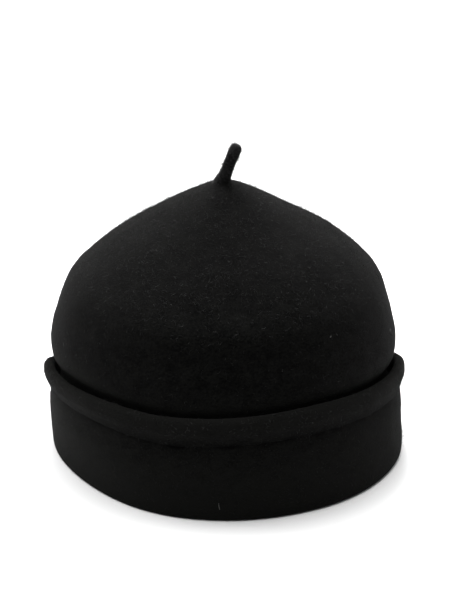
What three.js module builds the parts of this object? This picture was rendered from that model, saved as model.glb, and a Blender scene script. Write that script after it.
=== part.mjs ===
// A black wool felt cap. The domed crown rises to a shallow point that carries a short felt stem.
// The felt is turned up outside round the bottom as a cuff, and the top edge of the cuff is folded
// out and down as a rolled lip. Crown, cuff and lip are one piece of felt, open below for the head.
// Millimetres, +Z up. The front faces -Y, and the cap stands on its turned bottom edge at z = 0.

import * as THREE from 'three';

// Felt and head size
const FELT = 2.4; // thickness of the felt
const OVAL = 1.1; // front-to-back length over side-to-side width
const AROUND = 68; // facets round the cap

// Crown: the outer face, from the point down to the turned edge
const CROWN_SECTIONS = [
  { height: 144.6, halfWidth: 0, toRight: 0 },
  { height: 144.2, halfWidth: 5, toRight: 0 },
  { height: 141.8, halfWidth: 11, toRight: 0.5 },
  { height: 136.0, halfWidth: 22, toRight: 0.3 },
  { height: 127.8, halfWidth: 36, toRight: 0 },
  { height: 119.5, halfWidth: 49.7, toRight: 0.6 },
  { height: 111.5, halfWidth: 62, toRight: 1.3 },
  { height: 102.6, halfWidth: 73, toRight: 1.1 },
  { height: 93, halfWidth: 82, toRight: 0.5 },
  { height: 85, halfWidth: 86, toRight: -0.1 },
  { height: 76, halfWidth: 89.5, toRight: -0.5 },
  { height: 68, halfWidth: 91.6, toRight: -0.3 },
  { height: 61, halfWidth: 91.4, toRight: -0.3 },
  { height: 56, halfWidth: 90.3, toRight: -0.3 },
  { height: 48, halfWidth: 89.3, toRight: -0.2 },
  { height: 30, halfWidth: 89.2, toRight: 0 },
];
const CROWN_STEPS = 20;

// Turned bottom edge: the space left inside the turn, and how far the felt is pressed flat below
const TURN_GAP = 1.6;
const TURN_HALF_WIDTH = 89.7;
const TURN_PRESS = 0.6;
const TURN_STEPS = 6;

// Cuff: the face towards the crown, going up
const CUFF_SECTIONS = [
  { height: 14, halfWidth: 90.9 },
  { height: 30, halfWidth: 91.1 },
  { height: 43, halfWidth: 90.2 },
  { height: 50, halfWidth: 90.6 },
];
const CUFF_STEPS = 6;

// Lip: the fold over the top of the cuff, then its outer face going down to the cut edge
const FOLD_HALF_WIDTH = 93.5;
const FOLD_HEIGHT = 53.2;
const FOLD_RADIUS = 2.9;
const FOLD_STEPS = 6;
const LIP_SECTIONS = [
  { height: 49.4, halfWidth: 96.3 },
  { height: 45.6, halfWidth: 95.0 },
  { height: 41.8, halfWidth: 93.8 },
];
const LIP_STEPS = 4;
const LIP_EDGE = 0.9; // thickness that the lip thins down to at its cut edge

// How much higher (+) or lower (-) the lip is cut, by side in degrees right of front
const LIP_TRIMS = [
  { side: -58, spread: 22, lift: 2.0 },
  { side: -16, spread: 10, lift: -0.8 },
  { side: -98, spread: 18, lift: 2 },
];

// Cuff height: how much higher (+) or lower (-) the cuff stands, by side in degrees right of front
const CUFF_LIFTS = [
  { side: 30, spread: 22, lift: 1.6 },
  { side: -20, spread: 18, lift: -1.2 },
  { side: -98, spread: 18, lift: -1.9 },
];
const LIFT_FADE_HEIGHT = 95; // above this the crown keeps its own height

// How much lower the cuff gets towards the back, on either side from one angle off the front to another
const CUFF_DROPS = [
  { from: 25, to: 140, drop: 11 },
  { from: 80, to: 104, drop: 5.5 },
];

// Soft swells (+) and dents (-) pushed through crown and cuff together, by side in degrees right of
// front and height
const SWELLS = [
  { side: 58, height: 8, spread: 30, tall: 20, push: 3.5 },
  { side: 79, height: 3, spread: 15, tall: 10, push: 1.6 },
  { side: 85, height: 36, spread: 14, tall: 13, push: 1.4 },
  { side: -54, height: 4, spread: 24, tall: 20, push: -3.2 },
  { side: -103, height: 42, spread: 16, tall: 10, push: -4.5 },
  { side: 105, height: 42, spread: 16, tall: 10, push: -4.5 },
  { side: -4, height: 92, spread: 50, tall: 9, push: 1 },
  { side: -15, height: 79, spread: 25, tall: 6, push: -1.8 },
];

// Places where the crown alone is drawn in, by side and by height before the cuff's lifts and drops:
// behind the lip, which opens dark gaps on the left and right, and under the belly of the front
const TUCKS = [
  { side: -56, height: 51, spread: 24, tall: 6, push: -5 },
  { side: 74, height: 50, spread: 26, tall: 5.5, push: -4.2 },
  { side: -4, height: 66, spread: 52, tall: 10, push: -2 },
];

// Stem: a bent stalk of round section, by distance along it
const STEM_SECTIONS = [
  { along: 0, radius: 4 },
  { along: 1.5, radius: 3.5 },
  { along: 5, radius: 3.2 },
  { along: 11, radius: 3.15 },
  { along: 16.6, radius: 3.3 },
  { along: 19.1, radius: 3.0 },
  { along: 20.5, radius: 1.9 },
];
const STEM_LENGTH = 21;
const STEM_AROUND = 16;
const STEM_TIP = { toRight: 7.2, up: 19.6 }; // the tip, from the foot
const STEM_BEND = { toRight: 2.1, up: 8.2 }; // where the foot's and the tip's directions meet
const STEM_LEVEL_SHARE = 0.3; // share of the length in which the level foot turns to follow the bend
const STEM_CLEARANCE = 0.3; // between the foot and the point of the crown

const BLACK_FELT = { color: 0x141416, roughness: 0.95, metalness: 0 };

function bell(distance, spread) {
  return Math.exp(-((distance / spread) ** 2));
}

function degreesBetween(sideA, sideB) {
  const difference = (sideA - sideB) % 360;
  return ((difference + 540) % 360) - 180;
}

// A smooth curve through a table of sections, as points (half width, height)
function curveThrough(points, steps) {
  const curve = new THREE.CatmullRomCurve3(
    points.map((point) => new THREE.Vector3(point.x, point.y, 0)),
    false,
    'centripetal',
  );
  return curve.getPoints(steps).map((point) => new THREE.Vector2(point.x, point.y));
}

function sectionPoints(sections) {
  return sections.map((section) => new THREE.Vector2(section.halfWidth, section.height));
}

// A half-round turn of the felt between two walls, as points (half width, height)
function turn(halfWidth, height, radius, startAngle, clockwise, steps) {
  const endAngle = startAngle + (clockwise ? -Math.PI : Math.PI);
  const arc = new THREE.EllipseCurve(halfWidth, height, radius, radius, startAngle, endAngle, clockwise);
  return arc.getPoints(steps);
}

// One face of the felt from the point of the crown to the cut edge of the lip
function feltFace() {
  const turnHeight = TURN_GAP / 2 + FELT - TURN_PRESS;
  const bottomTurn = turn(TURN_HALF_WIDTH, turnHeight, TURN_GAP / 2, Math.PI, false, TURN_STEPS);
  const topFold = turn(FOLD_HALF_WIDTH, FOLD_HEIGHT, FOLD_RADIUS, Math.PI, true, FOLD_STEPS);
  const turnStart = bottomTurn[0];
  const turnEnd = bottomTurn[TURN_STEPS];
  const foldStart = topFold[0];
  const foldEnd = topFold[FOLD_STEPS];
  const crown = curveThrough([...sectionPoints(CROWN_SECTIONS), turnStart], CROWN_STEPS);
  const cuff = curveThrough([turnEnd, ...sectionPoints(CUFF_SECTIONS), foldStart], CUFF_STEPS);
  const lip = curveThrough([foldEnd, ...sectionPoints(LIP_SECTIONS)], LIP_STEPS);
  return {
    points: [...crown, ...bottomTurn.slice(1), ...cuff.slice(1), ...topFold.slice(1), ...lip.slice(1)],
    crownEnd: crown.length,
    lipStart: crown.length + TURN_STEPS + CUFF_STEPS + FOLD_STEPS - 1,
  };
}

// How far down the lip a point of the face lies, from 0 at the fold to 1 at the cut edge
function shareDownLip(face, index) {
  return Math.max(index - face.lipStart, 0) / (face.points.length - 1 - face.lipStart);
}

// The other face, one felt thickness away, thinning along the lip
function offsetFace(face) {
  const last = face.points.length - 1;
  return face.points.map((point, index) => {
    const before = face.points[Math.max(index - 1, 0)];
    const after = face.points[Math.min(index + 1, last)];
    const along = new THREE.Vector2().subVectors(after, before).normalize();
    const thickness = THREE.MathUtils.lerp(FELT, LIP_EDGE, shareDownLip(face, index));
    const inward = index === 0 ? new THREE.Vector2(0, -1) : new THREE.Vector2(along.y, -along.x);
    return inward.multiplyScalar(thickness).add(point);
  });
}

function sidewaysShift(height) {
  const upper = CROWN_SECTIONS.findLastIndex((section) => section.height >= height);
  const above = CROWN_SECTIONS[Math.max(upper, 0)];
  const below = CROWN_SECTIONS[Math.min(upper + 1, CROWN_SECTIONS.length - 1)];
  const drop = above.height - below.height;
  const share = drop > 0 ? THREE.MathUtils.clamp((above.height - height) / drop, 0, 1) : 0;
  return THREE.MathUtils.lerp(above.toRight, below.toRight, share);
}

// The sum of a table's lifts at one side of the cap
function liftAt(table, side) {
  return table.reduce((sum, row) => {
    return sum + row.lift * bell(degreesBetween(side, row.side), row.spread);
  }, 0);
}

// How much higher the cuff stands at one side of the cap
function cuffLift(side) {
  return CUFF_DROPS.reduce((sum, row) => {
    return sum - row.drop * THREE.MathUtils.smoothstep(Math.abs(side), row.from, row.to);
  }, liftAt(CUFF_LIFTS, side));
}

// The lift grows from the floor up to the fold, and fades out up the crown
function liftShare(height) {
  const rising = THREE.MathUtils.clamp(height / FOLD_HEIGHT, 0, 1);
  return rising * (1 - THREE.MathUtils.smoothstep(height, FOLD_HEIGHT, LIFT_FADE_HEIGHT));
}

// The sum of a table's pushes at one place
function pushAt(table, side, height) {
  return table.reduce((sum, row) => {
    const sideways = bell(degreesBetween(side, row.side), row.spread);
    return sum + row.push * sideways * bell(height - row.height, row.tall);
  }, 0);
}

// Turns one point of the round felt into its place on the oval, dented cap
function shapeFelt(point, onCrown, downLip) {
  const side = THREE.MathUtils.radToDeg(Math.atan2(point.x, -point.y));
  const radius = Math.hypot(point.x, point.y);
  const height = point.z + cuffLift(side) * liftShare(point.z) + liftAt(LIP_TRIMS, side) * downLip;
  const push = pushAt(SWELLS, side, height) + (onCrown ? pushAt(TUCKS, side, point.z) : 0);
  const scale = radius > 0 ? (radius + push) / radius : 1;
  point.set(point.x * scale + sidewaysShift(point.z), point.y * scale * OVAL, Math.max(height, 0));
}

function crownAndCuff() {
  const face = feltFace();
  const profile = [...offsetFace(face), ...[...face.points].reverse()];
  const geometry = new THREE.LatheGeometry(profile, AROUND);
  geometry.rotateX(Math.PI / 2);
  const position = geometry.getAttribute('position');
  const point = new THREE.Vector3();
  for (let index = 0; index < position.count; index += 1) {
    const step = index % profile.length;
    const along = Math.min(step, profile.length - 1 - step);
    point.fromBufferAttribute(position, index);
    shapeFelt(point, along < face.crownEnd, shareDownLip(face, along));
    position.setXYZ(index, point.x, point.y, point.z);
  }
  geometry.computeVertexNormals();
  const mesh = new THREE.Mesh(geometry, new THREE.MeshStandardMaterial(BLACK_FELT));
  mesh.name = 'crown_and_cuff';
  return mesh;
}

function stem() {
  const outline = [
    new THREE.Vector2(0, 0),
    ...STEM_SECTIONS.map((section) => new THREE.Vector2(section.radius, section.along)),
    new THREE.Vector2(0, STEM_LENGTH),
  ];
  const geometry = new THREE.LatheGeometry(outline, STEM_AROUND);
  geometry.rotateX(Math.PI / 2);
  const bend = new THREE.QuadraticBezierCurve3(
    new THREE.Vector3(0, 0, 0),
    new THREE.Vector3(STEM_BEND.toRight, 0, STEM_BEND.up),
    new THREE.Vector3(STEM_TIP.toRight, 0, STEM_TIP.up),
  );
  const position = geometry.getAttribute('position');
  const point = new THREE.Vector3();
  for (let index = 0; index < position.count; index += 1) {
    point.fromBufferAttribute(position, index);
    const along = point.z / STEM_LENGTH;
    const centre = bend.getPoint(along);
    const leaning = THREE.MathUtils.smoothstep(along, 0, STEM_LEVEL_SHARE);
    const lean = new THREE.Vector3(0, 0, 1).lerp(bend.getTangent(along), leaning).normalize();
    const across = point.x;
    position.setXYZ(index, centre.x + across * lean.z, point.y, centre.z - across * lean.x);
  }
  geometry.computeVertexNormals();
  const mesh = new THREE.Mesh(geometry, new THREE.MeshStandardMaterial(BLACK_FELT));
  mesh.name = 'stem';
  const [tip] = CROWN_SECTIONS;
  mesh.position.set(tip.toRight, 0, tip.height + STEM_CLEARANCE);
  return mesh;
}

const cap = new THREE.Group();
cap.add(crownAndCuff(), stem());

// The origin lies on the floor under the middle of the cap
const middle = new THREE.Box3().setFromObject(cap, true).getCenter(new THREE.Vector3());
cap.position.set(-middle.x, -middle.y, 0);

export default cap;
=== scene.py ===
import math

import bpy
import numpy as np
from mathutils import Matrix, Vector, noise


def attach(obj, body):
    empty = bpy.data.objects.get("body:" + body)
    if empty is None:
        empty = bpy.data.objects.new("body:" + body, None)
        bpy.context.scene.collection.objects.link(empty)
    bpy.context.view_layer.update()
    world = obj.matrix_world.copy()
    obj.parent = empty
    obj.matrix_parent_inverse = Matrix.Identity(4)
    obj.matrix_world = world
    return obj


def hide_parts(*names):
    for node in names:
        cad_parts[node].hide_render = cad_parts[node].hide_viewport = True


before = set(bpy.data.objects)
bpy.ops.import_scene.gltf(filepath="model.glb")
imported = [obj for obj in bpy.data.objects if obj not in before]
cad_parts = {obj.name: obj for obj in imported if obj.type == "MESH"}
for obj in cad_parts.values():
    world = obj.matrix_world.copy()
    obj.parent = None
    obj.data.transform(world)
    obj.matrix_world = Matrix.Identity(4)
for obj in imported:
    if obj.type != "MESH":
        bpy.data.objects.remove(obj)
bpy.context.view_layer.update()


# Felt body: crown, cuff and lip
# One hood of thick black wool felt, blocked to a dome with a shallow point. Its lower edge is turned
# up outside as a cuff, and the cuff's top edge is folded out and down again as a rolled lip.

MM = 0.001  # the hat's lengths are in millimetres until this makes metres of them
FELT_THICK = 2.4
OVAL = 1.1  # how many times as long as wide
AROUND = 256  # points round the hat
CROWN_SECTIONS = (
    # height, half width, shift to the right
    (144.6, 0, 0),
    (144.2, 5, 0),
    (141.8, 11, 0.5),
    (136.0, 22, 0.3),
    (127.8, 36, 0),
    (119.5, 49.7, 0.6),
    (111.5, 62, 1.3),
    (102.6, 73, 1.1),
    (93, 82, 0.5),
    (85, 86, -0.1),
    (76, 89.5, -0.5),
    (68, 91.6, -0.3),
    (61, 91.4, -0.3),
    (56, 90.3, -0.3),
    (48, 89.3, -0.2),
    (30, 89.2, 0),
)
CROWN_STEPS = 84
TURN_GAP = 1.6  # between crown and cuff, inside the turned bottom edge
TURN_HALF_WIDTH = 89.7
TURN_PRESS = 0.6  # how far the turned edge is pressed flat where it stands
TURN_STEPS = 12
CUFF_SECTIONS = ((14, 90.9), (30, 91.1), (43, 90.2), (50, 90.6))  # height, half width
CUFF_STEPS = 24
FOLD_HALF_WIDTH = 93.5
FOLD_HEIGHT = 53.2
FOLD_RADIUS = 2.9
FOLD_STEPS = 14
LIP_SECTIONS = ((49.4, 96.3), (45.6, 95.0), (41.8, 93.8))  # height, half width
LIP_STEPS = 12
LIP_EDGE = 0.9  # how thin the lip is at its cut edge
EDGE_STEPS = 5
CURVE_STEPS = 16  # points on a smooth curve between two of its given points

CUFF_LIFTS = (
    # side in degrees right of front, spread, lift
    (30, 22, 1.6),
    (-20, 18, -1.2),
    (-98, 18, -1.9),
)
CUFF_DROPS = (
    # from this many degrees off the front, to this many, drop
    (25, 140, 11),
    (80, 104, 5.5),
)
LIFT_FADE_HEIGHT = 95  # above the fold, the lift dies away up to here
LIP_TRIMS = (
    # side in degrees right of front, spread, how much shorter the lip is cut
    (-58, 22, 2.0),
    (-16, 10, -0.8),
    (-98, 18, 2),
)
LIP_WAVE = 0.5  # how far the lip's cut edge wanders up and down
LIP_WAVE_SIZE = 16
LIP_WAVE_RING = (90, 7)  # radius and height of the ring along which the wave is read
# The crease under the lip is a shallow groove in the cuff, with painted shadow along it and the lip's cut
# edge.
CREASE_TALL = 1.0
CREASE_DEPTH = 0.6
CREASE_BELOW_LIP = 0.4
LIP_SHADOW_FROM = 0.9  # share of the way down the lip where the painted shadow along its cut edge starts
CREASE_OPEN = 0.55  # how open the crease is on average, from 0 to 1
CREASE_LEAST = 0.2
CREASE_WAVES = (
    # times round the hat, start in radians, how much it opens and closes
    (23, 1, 0.35),
    (41, 0, 0.3),
)
SWELLS = (
    # side in degrees right of front, height, spread, tall, push
    (58, 8, 30, 20, 3.5),
    (79, 3, 15, 10, 1.6),
    (85, 36, 14, 13, 1.4),
    (-54, 4, 24, 20, -3.2),
    (-103, 42, 16, 10, -4.5),
    (105, 42, 16, 10, -4.5),
    (-4, 92, 50, 9, 1),
    (-15, 79, 25, 6, -1.8),
)
TUCKS = (
    # the same, for the crown alone
    (-56, 51, 24, 6, -5),
    (74, 50, 26, 5.5, -4.2),
    (-4, 66, 52, 10, -2),
)
RIPPLES = ((22, 0.35), (8, 0.14), (3.2, 0.06))  # size and depth of the felt's unevenness
RIPPLE_FOOT = 4  # the ripple grows from nothing on the floor to full at this height

# Each grey is how much lighter the felt is there, as a share of the way from its darkest to its
# lightest wool. The cuff's grey is the felt's own tone; the others are painted light, as said at each.
# Each pair of heights is the stretch over which a grey or a cover of fibres fades.
# Painted floor bounce light: the cuff lighter towards the floor, and lighter still on its turned edge.
BOUNCE_LIGHT_HEIGHT = 44
BOUNCE_LIGHT_GREY = 0.5
TURN_HEIGHTS = (3, 12)
TURN_GREY = 0.7
CUFF_GREY = 0.38
# Painted fill light: the lower crown a little lighter, and much lighter in the shade just above the lip.
BELLY_GREY = 0.08
GAP_HEIGHTS = (53, 70)
GAP_GREY = 0.55
# Painted highlight: the top of the lip's fold lighter, fading down to the lip's cut edge.
FOLD_GREY = 0.8
LIP_GREY = 0.1
BRUSHED_HEIGHTS = (86, 116)  # the crown's loose wool thins out downwards between these
NAP_LEAST = 0.12  # share of the nap that is left below them
STRAYS_LEAST = 0.05
CROWN_NAP_FOOT = (34, 44)
CUFF_NAP_FOOT = (2, 5)
CUFF_NAP_TOP = 3  # how far below the lip the cuff's nap is full again
TUFTS_THIN = (0.15, 0.6)  # shares of the way down the lip between which its tufts thin out
TUFTS_LOST = 0.7


def bell(distance, spread):
    """One in the middle, dying away smoothly on both sides."""
    return np.exp(-((distance / spread) ** 2))


def degrees_between(side, other):
    """The shorter way round from one side of the hat to another."""
    return (side - other + 180) % 360 - 180


def smoothstep(value, low, high):
    """Rises smoothly from 0 at the low value to 1 at the high one."""
    share = np.clip((value - low) / (high - low), 0, 1)
    return share * share * (3 - 2 * share)


def between(first, second, low, high, at):
    """The point that lies as far from first to second as the number at lies from low to high."""
    return (first * (high - at) + second * (at - low)) / (high - low)


def smooth_through(points, steps):
    """Evenly spaced points on a smooth curve through a short list of points."""
    points = np.array(points, float)
    ends = (2 * points[0] - points[1], *points, 2 * points[-1] - points[-2])
    line = [points[0]]
    for before, start, end, after in zip(ends, ends[1:], ends[2:], ends[3:]):
        low = math.dist(before, start) ** 0.5
        high = low + math.dist(start, end) ** 0.5
        last = high + math.dist(end, after) ** 0.5
        for at in np.linspace(low, high, CURVE_STEPS + 1)[1:]:
            lead_in = between(before, start, 0, low, at)
            chord = between(start, end, low, high, at)
            lead_out = between(end, after, high, last, at)
            early = between(lead_in, chord, 0, high, at)
            late = between(chord, lead_out, low, last, at)
            line.append(between(early, late, low, high, at))
    line = np.array(line)
    run = np.concatenate(([0], np.cumsum(np.linalg.norm(np.diff(line, axis=0), axis=1))))
    places = np.linspace(0, run[-1], steps + 1)
    return np.stack([np.interp(places, run, line[:, axis]) for axis in (0, 1)], axis=1)


def half_turn(half_width, height, radius, way, steps):
    """Points of a half-round turn of the felt: way is 1 for a turn below and -1 for a fold above."""
    angles = math.pi + way * np.linspace(0, math.pi, steps + 1)
    return np.stack([half_width + radius * np.cos(angles), height + radius * np.sin(angles)], axis=1)


def felt_profile():
    """The felt wall's outline (half width, height), each point's part, and how far down the lip it is."""
    turn_height = TURN_GAP / 2 + FELT_THICK - TURN_PRESS
    turn = half_turn(TURN_HALF_WIDTH, turn_height, TURN_GAP / 2, 1, TURN_STEPS)
    fold = half_turn(FOLD_HALF_WIDTH, FOLD_HEIGHT, FOLD_RADIUS, -1, FOLD_STEPS)
    crown = smooth_through([(wide, high) for high, wide, _ in CROWN_SECTIONS] + [turn[0]], CROWN_STEPS)
    cuff = smooth_through([turn[-1], *((wide, high) for high, wide in CUFF_SECTIONS), fold[0]], CUFF_STEPS)
    lip = smooth_through([fold[-1], *((wide, high) for high, wide in LIP_SECTIONS)], LIP_STEPS)
    face = np.concatenate([crown, turn[1:], cuff[1:], fold[1:], lip[1:]])
    part = np.repeat(
        ("crown", "turn", "cuff", "fold", "lip"),
        (len(crown), TURN_STEPS, CUFF_STEPS, FOLD_STEPS, LIP_STEPS),
    )
    ahead = np.concatenate([face[1:], face[-1:]])
    behind = np.concatenate([face[:1], face[:-1]])
    along = ahead - behind
    along /= np.linalg.norm(along, axis=1)[:, None]
    along[0] = (1, 0)
    down_lip = np.clip(np.arange(len(face)) - (len(face) - 1 - LIP_STEPS), 0, None) / LIP_STEPS
    thickness = FELT_THICK + (LIP_EDGE - FELT_THICK) * down_lip
    other = face + thickness[:, None] * np.stack([along[:, 1], -along[:, 0]], axis=1)
    middle = (face[-1] + other[-1]) / 2
    arm = other[-1] - middle
    turns = np.linspace(0, math.pi, EDGE_STEPS + 2)[1:-1, None]
    edge = middle + np.cos(turns) * arm + np.sin(turns) * np.linalg.norm(arm) * along[-1]
    outline = np.concatenate([other, edge, face[::-1]])
    part = np.concatenate([part, ["lip"] * EDGE_STEPS, part[::-1]])
    down_lip = np.concatenate([down_lip, np.ones(EDGE_STEPS), down_lip[::-1]])
    return outline, part, down_lip


def push_at(table, side, height):
    """How far a table of swells or tucks pushes the felt out, by side and height."""
    return sum(
        push * bell(degrees_between(side, at), spread) * bell(height - level, tall)
        for at, level, spread, tall, push in table
    )


def wave(side):
    """A slow uneven wave round the hat, from -1 to 1."""
    radius, level = LIP_WAVE_RING
    return np.array([
        noise.noise(Vector((radius * math.sin(turn), radius * math.cos(turn), level)) / LIP_WAVE_SIZE)
        for turn in np.radians(side)
    ])


def crease_opens(side):
    """The crease under the lip and its painted shadow open and close in short stretches round the hat."""
    turn = np.radians(side)
    swing = sum(much * np.sin(times * turn + start) for times, start, much in CREASE_WAVES)
    return np.clip(CREASE_OPEN + swing, CREASE_LEAST, 1)


def lip_cut(side):
    """How much higher or lower than its table the lip is cut."""
    trim = sum(cut * bell(degrees_between(side, at), spread) for at, spread, cut in LIP_TRIMS)
    return trim + LIP_WAVE * wave(side)


def shape_felt(radius, height, side, on_crown, down_lip):
    """Places points of the round felt on the oval, dented hat."""
    lift = sum(up * bell(degrees_between(side, at), spread) for at, spread, up in CUFF_LIFTS)
    lift = lift - sum(drop * smoothstep(np.abs(side), near, far) for near, far, drop in CUFF_DROPS)
    share = np.clip(height / FOLD_HEIGHT, 0, 1) * (1 - smoothstep(height, FOLD_HEIGHT, LIFT_FADE_HEIGHT))
    raised = height + lift * share + lip_cut(side) * down_lip
    push = push_at(SWELLS, side, raised) + np.where(on_crown, push_at(TUCKS, side, height), 0)
    radius = radius + np.where(radius > 0, push, 0)
    levels, _, shifts = np.array(CROWN_SECTIONS).T
    right = np.interp(height, levels[::-1], shifts[::-1])
    turn = np.radians(side)
    x = radius * np.sin(turn) + right
    y = -radius * np.cos(turn) * OVAL
    return np.stack([x, y, np.maximum(raised, 0)], axis=-1)


def ripple(points):
    """The small unevenness of hand-blocked felt, as one height for each point."""
    heights = np.zeros(len(points))
    for size, depth in RIPPLES:
        heights += [depth * noise.noise(Vector(point) / size) for point in points]
    return heights


def lathe_faces(around, steps):
    """Faces of a closed turned form whose first and last points lie on the axis."""
    faces = []
    last = 1 + around * (steps - 2)
    for spoke in range(around):
        here = spoke * (steps - 2)
        beside = (spoke + 1) % around * (steps - 2)
        faces.append((0, 1 + beside, 1 + here))
        for step in range(1, steps - 2):
            faces.append((here + step, beside + step, beside + step + 1, here + step + 1))
        faces.append((here + steps - 2, beside + steps - 2, last))
    return faces


def uneven_felt(name, places, faces, strength):
    """A smooth mesh through the places, in millimetres, with the felt's ripple pushed along its normals."""
    mesh = bpy.data.meshes.new(name)
    mesh.from_pydata(places * MM, [], faces)
    mesh.shade_smooth()
    normals = np.empty(len(places) * 3)
    mesh.vertex_normals.foreach_get("vector", normals)
    push = strength * ripple(places) * smoothstep(places[:, 2], 0, RIPPLE_FOOT)
    places = places + normals.reshape(-1, 3) * push[:, None]
    mesh.vertices.foreach_set("co", (places * MM).ravel())
    mesh.update()
    return mesh


def mark(mesh, name, values):
    """Keeps one number for each point of a mesh, under a name that materials and fibres read."""
    mesh.attributes.new(name, "FLOAT", "POINT").data.foreach_set("value", values)


def new_object(name, data):
    thing = bpy.data.objects.new(name, data)
    bpy.context.scene.collection.objects.link(thing)
    return thing


class Shade:
    """A node socket that joins in sums, so that node maths reads as plain expressions."""

    def __init__(self, tree, socket=None):
        self.tree = tree
        self.socket = socket

    def out(self, name):
        return Shade(self.tree, self.socket.node.outputs[name])

    def node(self, kind, settings, values, output=0):
        made = self.tree.nodes.new(kind)
        for name, value in settings.items():
            setattr(made, name, value)
        for name, value in values.items():
            for each in value if isinstance(value, list) else [value]:
                if isinstance(each, Shade):
                    self.tree.links.new(each.socket, made.inputs[name])
                else:
                    made.inputs[name].default_value = each
        return Shade(self.tree, made.outputs[output] if len(made.outputs) else None)

    def maths(self, operation, first, second):
        return self.node("ShaderNodeMath", {"operation": operation}, {0: first, 1: second})

    def __add__(self, other):
        return self.maths("ADD", self, other)

    def __radd__(self, other):
        return self.maths("ADD", other, self)

    def __sub__(self, other):
        return self.maths("SUBTRACT", self, other)

    def __rsub__(self, other):
        return self.maths("SUBTRACT", other, self)

    def __mul__(self, other):
        return self.maths("MULTIPLY", self, other)

    def __rmul__(self, other):
        return self.maths("MULTIPLY", other, self)

    def __truediv__(self, other):
        return self.maths("DIVIDE", self, other)

    def __rtruediv__(self, other):
        return self.maths("DIVIDE", other, self)


FELT_DARK = (0.0004, 0.0004, 0.0004, 1)
FELT_LIGHT = (0.0042, 0.0043, 0.0039, 1)
FELT_SHEEN = 0.012
MATTING_SIZE = 8 * MM
MATTING_SHARE = 0.2
TANGLE_SIZE = 2.6 * MM
TANGLE_SHARE = 0.45
TANGLE_RUN = 1.7  # how much longer the tangles are round the hat than up it
TANGLE_TWIST = 1.6
TANGLE_FINENESS = 0.65
GRAIN_SIZE = 0.9 * MM
GRAIN_SHARE = 0.35
TONE_CONTRAST = 4.8
TONE_CUT = 2.1
FELT_RELIEF = 0.55 * MM
RELIEF_STRENGTH = 0.85
RELIEF_GRAIN = 0.2  # share of the grain in the relief, the rest being tangle
FELT_ROUGHNESS = 0.86
FELT_GLOSS = 0.03
SHEEN_ROUGHNESS = 0.42
SHEEN_TINT = (1, 1, 0.99, 1)
DARK_COLOUR = 6  # a Mix node's colour sockets go by number, as their names repeat
LIGHT_COLOUR = 7
MIXED_COLOUR = 2


def black_felt(name, tangle_size, lightest, sheen):
    """Matted wool dyed black: dull face on, with a faint bloom of fibre ends where it turns away."""
    material = bpy.data.materials.new(name)
    material.use_nodes = True
    tree = material.node_tree
    tree.nodes.clear()
    start = Shade(tree)
    place = start.node("ShaderNodeTexCoord", {}, {}, "Object")
    drawn = start.node("ShaderNodeMapping", {}, {"Vector": place, "Scale": (1, 1, TANGLE_RUN)})
    matting = start.node("ShaderNodeTexNoise", {}, {
        "Vector": drawn, "Scale": 1 / MATTING_SIZE, "Detail": 3})
    tangle = start.node("ShaderNodeTexNoise", {}, {
        "Vector": drawn,
        "Scale": 1 / tangle_size,
        "Detail": 5,
        "Roughness": TANGLE_FINENESS,
        "Distortion": TANGLE_TWIST,
    })
    grain = start.node("ShaderNodeTexNoise", {}, {"Vector": place, "Scale": 1 / GRAIN_SIZE, "Detail": 3})
    tone = matting * MATTING_SHARE + tangle * TANGLE_SHARE + grain * GRAIN_SHARE
    # The felt's own tone with painted light and shade, read from the mesh, lifts the wool's tone.
    wear = start.node("ShaderNodeAttribute", {"attribute_name": "wear"}, {}, "Fac")
    colour = start.node("ShaderNodeMix", {"data_type": "RGBA", "clamp_factor": True}, {
        "Factor": tone * TONE_CONTRAST - TONE_CUT + wear,
        DARK_COLOUR: FELT_DARK,
        LIGHT_COLOUR: lightest,
    }, MIXED_COLOUR)
    relief = start.node("ShaderNodeBump", {}, {
        "Strength": RELIEF_STRENGTH,
        "Distance": FELT_RELIEF,
        "Height": tangle * (1 - RELIEF_GRAIN) + grain * RELIEF_GRAIN,
    })
    surface = start.node("ShaderNodeBsdfPrincipled", {}, {
        "Base Color": colour,
        "Roughness": FELT_ROUGHNESS + tangle * (1 - FELT_ROUGHNESS),
        "Specular IOR Level": FELT_GLOSS,
        "Sheen Weight": sheen,
        "Sheen Roughness": SHEEN_ROUGHNESS,
        "Sheen Tint": SHEEN_TINT,
        "Normal": relief,
    })
    start.node("ShaderNodeOutputMaterial", {}, {"Surface": surface})
    return material


outline, parts, lip_shares = felt_profile()
steps = len(outline)
order = np.concatenate([[0], np.tile(np.arange(1, steps - 1), AROUND), [steps - 1]])
sides = np.concatenate([[0], np.repeat(np.arange(AROUND) * 360 / AROUND, steps - 2), [0]])
sides = degrees_between(sides, 0)
widths, levels = outline[order].T
part = parts[order]
down_lip = lip_shares[order]
first_half = order < steps // 2
on_crown = part == "crown"
on_cuff = first_half & (part == "cuff")
on_lip = np.isin(part, ("fold", "lip"))
below_lip = LIP_SECTIONS[-1][0] + lip_cut(sides) - levels
# A groove pushed into the cuff under the lip, painted there as shadow; on the lip only painted shadow at
# its edge.
crease_and_painted_shadow = np.where(
    on_cuff,
    bell(below_lip - CREASE_BELOW_LIP, CREASE_TALL),
    smoothstep(down_lip, LIP_SHADOW_FROM, 1),
) * crease_opens(sides)
places = shape_felt(widths - CREASE_DEPTH * crease_and_painted_shadow * on_cuff, levels, sides, on_crown, down_lip)
hat_middle = (places.min(axis=0) + places.max(axis=0)) / 2 * (1, 1, 0)
places = places - hat_middle
felt_mesh = uneven_felt("felt_body", places, lathe_faces(AROUND, steps), 1)

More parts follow.
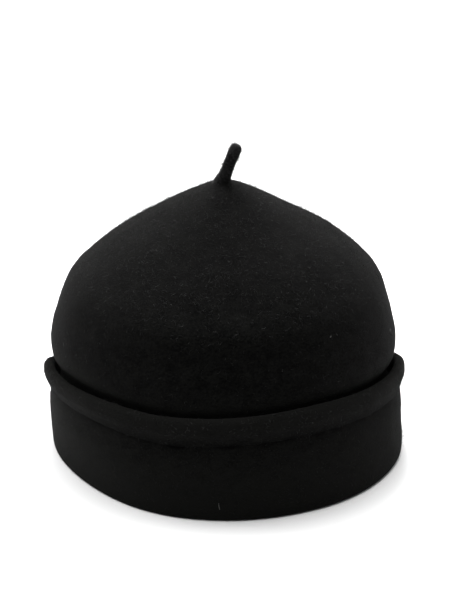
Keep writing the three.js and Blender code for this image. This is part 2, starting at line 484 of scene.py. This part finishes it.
heights = places[:, 2]
crown_shows = on_crown & ~first_half
cuff_shows = np.where(first_half, on_cuff & (below_lip > 0), on_lip)
brushed = smoothstep(heights, *BRUSHED_HEIGHTS)
nap_share = NAP_LEAST + (1 - NAP_LEAST) * brushed
mark(felt_mesh, "crown_cover", crown_shows * nap_share * smoothstep(heights, *CROWN_NAP_FOOT))
mark(felt_mesh, "stray_cover", crown_shows * (STRAYS_LEAST + (1 - STRAYS_LEAST) * brushed))
cuff_bare = np.where(on_cuff, smoothstep(below_lip, 0, CUFF_NAP_TOP), 1)
mark(felt_mesh, "cuff_cover", cuff_shows * cuff_bare * smoothstep(heights, *CUFF_NAP_FOOT))
tufts_share = 1 - TUFTS_LOST * smoothstep(down_lip, *TUFTS_THIN)
mark(felt_mesh, "lip_cover", (cuff_shows & ~on_cuff) * tufts_share)

# Painted floor bounce light, lighter towards the bottom of the cuff and on its turned edge.
bounce_light = BOUNCE_LIGHT_GREY * (1 - smoothstep(heights, 0, BOUNCE_LIGHT_HEIGHT))
turned = TURN_GREY * (1 - smoothstep(heights, *TURN_HEIGHTS))
cuff_grey = CUFF_GREY * on_cuff + np.where(on_cuff | (part == "turn"), bounce_light + turned, 0)
# Painted fill light on the lower crown and in the gap's shade just above the lip.
belly_grey = BELLY_GREY * (1 - brushed) + GAP_GREY * (1 - smoothstep(heights, *GAP_HEIGHTS))
# Painted highlight on the top of the fold, fading down the lip.
lip_grey = FOLD_GREY + (LIP_GREY - FOLD_GREY) * down_lip
# The felt's own tone and painted light and shade in one attribute, less the crease's painted shadow.
mark(felt_mesh, "wear", cuff_grey + crown_shows * belly_grey + on_lip * lip_grey - crease_and_painted_shadow)

felt_mesh.materials.append(black_felt("black_wool_felt", TANGLE_SIZE, FELT_LIGHT, FELT_SHEEN))
felt_body = new_object("felt_body", felt_mesh)
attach(felt_body, "root")
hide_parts("crown_and_cuff")


# Stem
# A short stalk rolled from the same felt and felted on at the crown's point. It leans to the right,
# swells a little at its blunt tip and spreads into the crown on the side that it leans away from.

STEM_GAP = 0.3  # between the crown's point and the stem's foot, before the foot is sunk
STEM_FOOT_HEIGHT = CROWN_SECTIONS[0][0] + STEM_GAP
STEM_LENGTH = 21
STEM_TIP = np.array((7.2, 19.6))  # to the right and up, from the foot
STEM_BEND = np.array((2.1, 8.2))  # the point that bends it, likewise
STEM_SECTIONS = (
    # distance along, radius
    (0, 3.7),
    (1.2, 3.45),
    (3.0, 3.3),
    (6.0, 3.15),
    (11.0, 3.1),
    (16.6, 3.3),
    (19.0, 3.1),
    (20.4, 2.2),
    (STEM_LENGTH, 0),
)
STEM_STEPS = 56
STEM_AROUND = 56
STEM_SPREAD = 3.4  # how much further the foot reaches on the side away from the lean
STEM_SPREAD_SHARE = 0.11  # of the stem's length, over which that dies away
STEM_SINK = 0.3  # how deep the foot is sunk into the crown
STEM_SINK_SHARE = 0.06  # of the stem's length, over which the foot follows the crown
STEM_UPRIGHT_SHARE = 0.3  # of the stem's length, over which it starts to lean
STEM_RIPPLE = 0.5  # share of the crown's unevenness
STEM_NAP_FOOT = (0.5, 2.5)  # heights above the foot between which the nap comes in
STEM_TANGLE_SIZE = 0.8 * TANGLE_SIZE
STEM_LIGHT = (0.012, 0.012, 0.012, 1)
STEM_SHEEN = 0.09
STEM_GREY = 0.2
# Painted highlight on the stem's tip, which faces up to the light.
STEM_TIP_HIGHLIGHT = 0.6
STEM_TIP_SHARE = 0.7  # of the stem's height, where the painted highlight on the tip starts


def stem_places():
    """Points of the bent stalk, the middle of its foot first and its tip last."""
    spaced = smooth_through(STEM_SECTIONS, STEM_STEPS)[:-1]
    share = np.clip(spaced[:, 0] / STEM_LENGTH, 0, 1)[:, None]
    centre = 2 * (1 - share) * share * STEM_BEND + share ** 2 * STEM_TIP
    heading = (1 - share) * STEM_BEND + share * (STEM_TIP - STEM_BEND)
    heading /= np.linalg.norm(heading, axis=1)[:, None]
    upright = np.array((0, 1))
    heading = upright + smoothstep(share, 0, STEM_UPRIGHT_SHARE) * (heading - upright)
    heading /= np.linalg.norm(heading, axis=1)[:, None]
    turns = np.arange(STEM_AROUND)[:, None] * 2 * math.pi / STEM_AROUND
    away = np.maximum(0, -np.sin(turns))
    reach = spaced[:, 1] + STEM_SPREAD * away * np.exp(-share[:, 0] / STEM_SPREAD_SHARE)
    across = reach * np.sin(turns)
    levels, widths, _ = np.array(CROWN_SECTIONS).T
    sunk = np.interp(reach, widths, levels) - STEM_SINK - STEM_FOOT_HEIGHT
    x = centre[:, 0] + across * heading[:, 1]
    y = -reach * np.cos(turns)
    z = centre[:, 1] - across * heading[:, 0] + sunk * bell(share[:, 0], STEM_SINK_SHARE)
    rings = np.stack([x, y, z], axis=-1).reshape(-1, 3)
    foot = (0, 0, -STEM_SINK)
    tip = (STEM_TIP[0], 0, STEM_TIP[1])
    return np.concatenate([[foot], rings, [tip]]) + (0, 0, STEM_FOOT_HEIGHT) - hat_middle


stem_faces = lathe_faces(STEM_AROUND, STEM_STEPS + 2)
stem_points = stem_places()
stem_mesh = uneven_felt("felt_stem", stem_points, stem_faces, STEM_RIPPLE)
stem_rise = stem_points[:, 2] - STEM_FOOT_HEIGHT
mark(stem_mesh, "stem_cover", smoothstep(stem_rise, *STEM_NAP_FOOT))
# Painted highlight: the stem's tip lighter where it faces up.
stem_tip_highlight = STEM_TIP_HIGHLIGHT * smoothstep(stem_rise / STEM_TIP[1], STEM_TIP_SHARE, 1)
mark(stem_mesh, "wear", STEM_GREY + stem_tip_highlight)
stem_mesh.materials.append(black_felt("black_stem_felt", STEM_TANGLE_SIZE, STEM_LIGHT, STEM_SHEEN))
felt_stem = new_object("felt_stem", stem_mesh)
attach(felt_stem, "root")
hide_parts("stem")


# Nap: loose fibre ends on the crown, the cuff and the stem
# Short bent wool fibres that stand out of the matted felt on every side, greyer than the felt where
# they catch the light. They are the felt's own wool, so they go with it.

FIBRE_BENDS = (
    # middle and end of a fibre one unit long, the start at its root
    ((0.05, 0.10, 0.5), (0.42, 0.12, 0.80)),
    ((-0.30, 0.05, 0.45), (0.22, -0.20, 0.75)),
    ((0.35, -0.10, 0.35), (-0.35, 0.15, 0.70)),
)
FIBRE_ROOT = -0.04  # how deep its root sits, in the same unit
FIBRE_SIDES = 3
FIBRE_STEPS = 2
FIBRE_SIZES = (0.55, 1.45)  # shortest and longest, as shares of the named length
FIBRE_MIX_SIZE = 2.2 * MM
FIBRE_CONTRAST = 5
FIBRE_CUT = 2.15
FIBRE_ROUGHNESS = 0.6
FIBRE_GLOSS = 0.1
CLUMP_MIDDLE = 0.5  # where the noise is above this, fibres stand close
CLUMP_CONTRAST = 11.2
LEAN_SEED = 11
SPIN_SEED = 23
SIZE_SEED = 37
FLOAT_LOW = 2  # a Random Value node's sockets for plain numbers go by number too
FLOAT_HIGH = 3
FLOAT_OUT = 1


def fibre_wool(name, darkest, lightest):
    """Loose wool whose tone changes from one clump of fibres to the next."""
    material = bpy.data.materials.new(name)
    material.use_nodes = True
    tree = material.node_tree
    tree.nodes.clear()
    start = Shade(tree)
    place = start.node("ShaderNodeTexCoord", {}, {}, "Object")
    mixed = start.node("ShaderNodeTexNoise", {}, {
        "Vector": place, "Scale": 1 / FIBRE_MIX_SIZE, "Detail": 2})
    colour = start.node("ShaderNodeMix", {"data_type": "RGBA", "clamp_factor": True}, {
        "Factor": mixed * FIBRE_CONTRAST - FIBRE_CUT,
        DARK_COLOUR: darkest,
        LIGHT_COLOUR: lightest,
    }, MIXED_COLOUR)
    surface = start.node("ShaderNodeBsdfPrincipled", {}, {
        "Base Color": colour, "Roughness": FIBRE_ROUGHNESS, "Specular IOR Level": FIBRE_GLOSS})
    start.node("ShaderNodeOutputMaterial", {}, {"Surface": surface})
    return material


def fibre_tree():
    """Scatters bent fibres over a felt surface, as thick as the named cover says."""
    tree = bpy.data.node_groups.new("felt_fibres", "GeometryNodeTree")
    for name, kind in (
        ("Felt", "NodeSocketGeometry"),
        ("Cover", "NodeSocketString"),
        ("Fibres per square metre", "NodeSocketFloat"),
        ("Length", "NodeSocketFloat"),
        ("Thickness", "NodeSocketFloat"),
        ("Clump size", "NodeSocketFloat"),
        ("Least lean", "NodeSocketFloat"),
        ("Most lean", "NodeSocketFloat"),
        ("Seed", "NodeSocketInt"),
        ("Wool", "NodeSocketMaterial"),
    ):
        tree.interface.new_socket(name, in_out="INPUT", socket_type=kind)
    tree.interface.new_socket("Fibres", in_out="OUTPUT", socket_type="NodeSocketGeometry")
    start = Shade(tree)
    given = start.node("NodeGroupInput", {}, {})
    cover = start.node("GeometryNodeInputNamedAttribute", {"data_type": "FLOAT"}, {
        "Name": given.out("Cover")})
    clumps = start.node("ShaderNodeTexNoise", {}, {"Scale": 1 / given.out("Clump size"), "Detail": 2})
    share = start.node("ShaderNodeClamp", {}, {
        "Value": (clumps - CLUMP_MIDDLE) * CLUMP_CONTRAST + CLUMP_MIDDLE})
    roots = start.node("GeometryNodeDistributePointsOnFaces", {"distribute_method": "RANDOM"}, {
        "Mesh": given.out("Felt"),
        "Density": cover * share * given.out("Fibres per square metre"),
        "Seed": given.out("Seed"),
    })
    section = start.node("GeometryNodeCurvePrimitiveCircle", {"mode": "RADIUS"}, {
        "Resolution": FIBRE_SIDES, "Radius": given.out("Thickness") / given.out("Length") * 0.5})
    shapes = []
    for middle, end in FIBRE_BENDS:
        line = start.node("GeometryNodeCurveQuadraticBezier", {}, {
            "Resolution": FIBRE_STEPS, "Start": (0, 0, FIBRE_ROOT), "Middle": middle, "End": end})
        shapes.append(start.node("GeometryNodeCurveToMesh", {}, {
            "Curve": line, "Profile Curve": section, "Fill Caps": True}))
    kinds = start.node("GeometryNodeGeometryToInstance", {}, {"Geometry": shapes})
    lean = start.node("FunctionNodeRandomValue", {"data_type": "FLOAT"}, {
        FLOAT_LOW: given.out("Least lean"),
        FLOAT_HIGH: given.out("Most lean"),
        "Seed": LEAN_SEED,
    }, FLOAT_OUT)
    spin = start.node("FunctionNodeRandomValue", {"data_type": "FLOAT"}, {
        FLOAT_LOW: 0.0, FLOAT_HIGH: 2 * math.pi, "Seed": SPIN_SEED}, FLOAT_OUT)
    size = start.node("FunctionNodeRandomValue", {"data_type": "FLOAT"}, {
        FLOAT_LOW: FIBRE_SIZES[0], FLOAT_HIGH: FIBRE_SIZES[1], "Seed": SIZE_SEED}, FLOAT_OUT)
    angles = start.node("ShaderNodeCombineXYZ", {}, {"X": lean, "Z": spin})
    turn = start.node("FunctionNodeEulerToRotation", {}, {"Euler": angles})
    way = start.node("FunctionNodeRotateRotation", {"rotation_space": "LOCAL"}, {
        "Rotation": roots.out("Rotation"), "Rotate By": turn})
    fibres = start.node("GeometryNodeInstanceOnPoints", {}, {
        "Points": roots,
        "Instance": kinds,
        "Pick Instance": True,
        "Rotation": way,
        "Scale": size * given.out("Length"),
    })
    solid = start.node("GeometryNodeRealizeInstances", {}, {"Geometry": fibres})
    dressed = start.node("GeometryNodeSetMaterial", {}, {"Geometry": solid, "Material": given.out("Wool")})
    start.node("NodeGroupOutput", {}, {"Fibres": dressed})
    return tree


def grow_fibres(name, felt, **sizes):
    """A plain mesh of fibres on a felt mesh, with the tree's inputs given by name."""
    piece = new_object(name, felt)
    grown = piece.modifiers.new("fibres", "NODES")
    grown.node_group = FIBRES
    for socket in FIBRES.interface.items_tree:
        wanted = socket.name.lower().replace(" ", "_")
        if wanted in sizes:
            grown[socket.identifier] = sizes[wanted]
    done = piece.evaluated_get(bpy.context.evaluated_depsgraph_get())
    mesh = bpy.data.meshes.new_from_object(done)
    mesh.name = name
    piece.modifiers.remove(grown)
    piece.data = mesh
    return piece


FIBRES = fibre_tree()
NAP_WOOL = fibre_wool("loose_black_wool", (0.0005, 0.0005, 0.0005, 1), (0.0118, 0.0118, 0.0112, 1))
FUZZ_WOOL = fibre_wool("upright_black_wool", (0.003, 0.003, 0.003, 1), (0.022, 0.022, 0.021, 1))
STRAY_WOOL = fibre_wool("stray_grey_wool", (0.004, 0.004, 0.004, 1), (0.032, 0.032, 0.031, 1))
CUFF_WOOL = fibre_wool("short_black_wool", (0.0035, 0.0035, 0.0034, 1), (0.005, 0.005, 0.0048, 1))
LIP_WOOL = fibre_wool("tufted_grey_wool", (0.008, 0.008, 0.008, 1), (0.027, 0.027, 0.026, 1))
STEM_WOOL = fibre_wool("stem_grey_wool", (0.008, 0.008, 0.008, 1), (0.026, 0.026, 0.026, 1))
NAP_LEANS = {"least_lean": math.radians(30), "most_lean": math.radians(85)}
STRAY_LEANS = {"least_lean": math.radians(70), "most_lean": math.radians(92)}
FUZZ_LEANS = {"least_lean": math.radians(5), "most_lean": math.radians(55)}
crown_nap = grow_fibres(
    "crown_nap",
    felt_mesh,
    cover="crown_cover",
    fibres_per_square_metre=400000.0,
    length=2.3 * MM,
    thickness=0.08 * MM,
    clump_size=4 * MM,
    seed=5,
    wool=NAP_WOOL,
    **NAP_LEANS,
)
cuff_nap = grow_fibres(
    "cuff_nap",
    felt_mesh,
    cover="cuff_cover",
    fibres_per_square_metre=300000.0,
    length=1.7 * MM,
    thickness=0.07 * MM,
    clump_size=5 * MM,
    seed=6,
    wool=CUFF_WOOL,
    **NAP_LEANS,
)
crown_fuzz = grow_fibres(
    "crown_fuzz",
    felt_mesh,
    cover="crown_cover",
    fibres_per_square_metre=260000.0,
    length=2.4 * MM,
    thickness=0.06 * MM,
    clump_size=3 * MM,
    seed=12,
    wool=FUZZ_WOOL,
    **FUZZ_LEANS,
)
crown_strays = grow_fibres(
    "crown_strays",
    felt_mesh,
    cover="stray_cover",
    fibres_per_square_metre=120000.0,
    length=1.9 * MM,
    thickness=0.11 * MM,
    clump_size=4 * MM,
    seed=8,
    wool=STRAY_WOOL,
    **STRAY_LEANS,
)
lip_strays = grow_fibres(
    "lip_strays",
    felt_mesh,
    cover="lip_cover",
    fibres_per_square_metre=260000.0,
    length=1.7 * MM,
    thickness=0.1 * MM,
    clump_size=7 * MM,
    seed=9,
    wool=LIP_WOOL,
    **STRAY_LEANS,
)
stem_nap = grow_fibres(
    "stem_nap",
    stem_mesh,
    cover="stem_cover",
    fibres_per_square_metre=4500000.0,
    length=1.3 * MM,
    thickness=0.08 * MM,
    clump_size=1.2 * MM,
    seed=7,
    wool=STEM_WOOL,
    **FUZZ_LEANS,
)
for nap in (crown_nap, cuff_nap, crown_fuzz, crown_strays, lip_strays):
    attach(nap, "root")
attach(stem_nap, "root")


# Pale threads
# A few loose threads of paler wool that lie caught in the nap, on the crown's right and low on the
# front of the cuff.

THREADS = (
    # side in degrees right of front, height, length, thickness, turn from upright in degrees
    (73, 72, 1.2, 0.3, 30),
    (38.5, 87, 1.2, 0.17, 55),
    (40.6, 87.6, 0.9, 0.16, -20),
    (-2, 9, 3.6, 0.25, -8),
    (7.4, 9.2, 1.5, 0.24, 5),
)
THREAD_RINGS = 4
THREAD_SIDES = 3
THREAD_BEND = 1 / 16  # how far it bows, as a share of its length
THREAD_RISE = 0.3  # how far its middle line lies above the felt
PALE_WOOL = fibre_wool("pale_wool", (0.1, 0.1, 0.096, 1), (0.18, 0.18, 0.173, 1))


def thread_tube(spot, normal, length, thickness, turn):
    """Points, in millimetres, and faces of one thin thread that lies bent on the felt."""
    across = np.cross((0, 0, 1), normal)
    across /= np.linalg.norm(across)
    upward = np.cross(normal, across)
    along = math.cos(turn) * upward + math.sin(turn) * across
    aside = np.cross(normal, along)
    points = []
    for share in np.linspace(-0.5, 0.5, THREAD_RINGS):
        bow = THREAD_BEND * (1 - (2 * share) ** 2)
        middle = spot + length * (share * along + bow * aside) + THREAD_RISE * normal
        for angle in np.arange(THREAD_SIDES) * 2 * math.pi / THREAD_SIDES:
            points.append(middle + thickness / 2 * (math.cos(angle) * normal + math.sin(angle) * aside))
    corners = range(len(points))
    faces = [tuple(corners[:THREAD_SIDES]), tuple(corners[:-THREAD_SIDES - 1:-1])]
    for ring in corners[:-THREAD_SIDES:THREAD_SIDES]:
        ahead = ring + THREAD_SIDES
        for here in range(THREAD_SIDES):
            beside = (here + 1) % THREAD_SIDES
            faces.append((ring + here, ahead + here, ahead + beside, ring + beside))
    return points, faces


skin = np.empty(len(felt_mesh.vertices) * 3)
felt_mesh.vertices.foreach_get("co", skin)
skin = skin.reshape(-1, 3) / MM
skin_normals = np.empty(len(felt_mesh.vertices) * 3)
felt_mesh.vertex_normals.foreach_get("vector", skin_normals)
skin_normals = skin_normals.reshape(-1, 3)
thread_points = []
thread_faces = []
for side, height, length, thickness, turn in THREADS:
    away = np.abs(degrees_between(sides, side)) + np.abs(skin[:, 2] - height)
    spot = np.argmin(np.where(crown_shows | cuff_shows, away, np.inf))
    points, faces = thread_tube(skin[spot], skin_normals[spot], length, thickness, math.radians(turn))
    thread_faces += [tuple(len(thread_points) + corner for corner in face) for face in faces]
    thread_points += [tuple(point * MM) for point in points]
thread_mesh = bpy.data.meshes.new("pale_threads")
thread_mesh.from_pydata(thread_points, [], thread_faces)
thread_mesh.materials.append(PALE_WOOL)
pale_threads = new_object("pale_threads", thread_mesh)
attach(pale_threads, "root")


# Stage: floor, lights and camera
# The hat stands on a plain white floor under one broad soft light. A small light behind the crown and
# one at each side lift its edges, and the camera looks down on its front. Lengths here are in metres.

FLOOR_HALF = 16.0
FLOOR_WHITE = (0.74, 0.74, 0.74, 1)
FLOOR_ROUGHNESS = 0.9
floor_mesh = bpy.data.meshes.new("floor")
floor_mesh.from_pydata(
    [(x * FLOOR_HALF, y * FLOOR_HALF, 0) for x, y in ((-1, -1), (1, -1), (1, 1), (-1, 1))],
    [],
    [(0, 1, 2, 3)],
)
floor = new_object("floor", floor_mesh)
white = bpy.data.materials.new("white_floor")
white.use_nodes = True
white.node_tree.nodes["Principled BSDF"].inputs["Base Color"].default_value = FLOOR_WHITE
white.node_tree.nodes["Principled BSDF"].inputs["Roughness"].default_value = FLOOR_ROUGHNESS
floor_mesh.materials.append(white)


def soft_light(name, place, target, size, watts):
    light = bpy.data.lights.new(name, "AREA")
    light.shape = "RECTANGLE"
    light.size, light.size_y = size
    light.energy = watts
    lamp = new_object(name, light)
    lamp.location = place
    lamp.visible_camera = False
    lamp.rotation_euler = (Vector(target) - Vector(place)).to_track_quat("-Z", "Y").to_euler()


SOFT_LIGHTS = (
    # name, place, what it points at, width and height, watts
    ("top_light", (-1.2, 1.8, 9.5), (0, 0.3, 0), (14.4, 12.0), 3000),
    ("crown_light", (0, 0.26, 0.42), (0, 0.02, 0.13), (0.25, 0.25), 4),
    ("left_light", (-1.4, 0.5, 0.6), (0, 0, 0.06), (0.8, 1.2), 8),
    ("right_light", (1.4, 0.5, 0.6), (0, 0, 0.06), (0.8, 1.2), 1),
)
for lamp_settings in SOFT_LIGHTS:
    soft_light(*lamp_settings)

ROOM_LIGHT = 0.2
room = bpy.data.worlds.new("room")
room.use_nodes = True
room.node_tree.nodes["Background"].inputs["Color"].default_value = (1, 1, 1, 1)
room.node_tree.nodes["Background"].inputs["Strength"].default_value = ROOM_LIGHT
bpy.context.scene.world = room
bpy.context.scene.view_settings.view_transform = "Standard"

CAMERA_BACK = 1.0
CAMERA_HEIGHT = 0.4634
CAMERA_PITCH = math.radians(21.05)
FOCAL_PIXELS = 2025
PHOTO_SIZE = (450, 600)
PHOTO_CENTRE = 224.7
SENSOR_WIDTH = 36
camera = bpy.data.cameras.new("camera")
camera.sensor_width = SENSOR_WIDTH
camera.lens = FOCAL_PIXELS * SENSOR_WIDTH / max(PHOTO_SIZE)
camera.shift_x = (PHOTO_SIZE[0] / 2 - PHOTO_CENTRE) / max(PHOTO_SIZE)
viewer = new_object("camera", camera)
viewer.location = (0, -CAMERA_BACK, CAMERA_HEIGHT)
viewer.rotation_euler = (math.pi / 2 - CAMERA_PITCH, 0, 0)
bpy.context.scene.camera = viewer
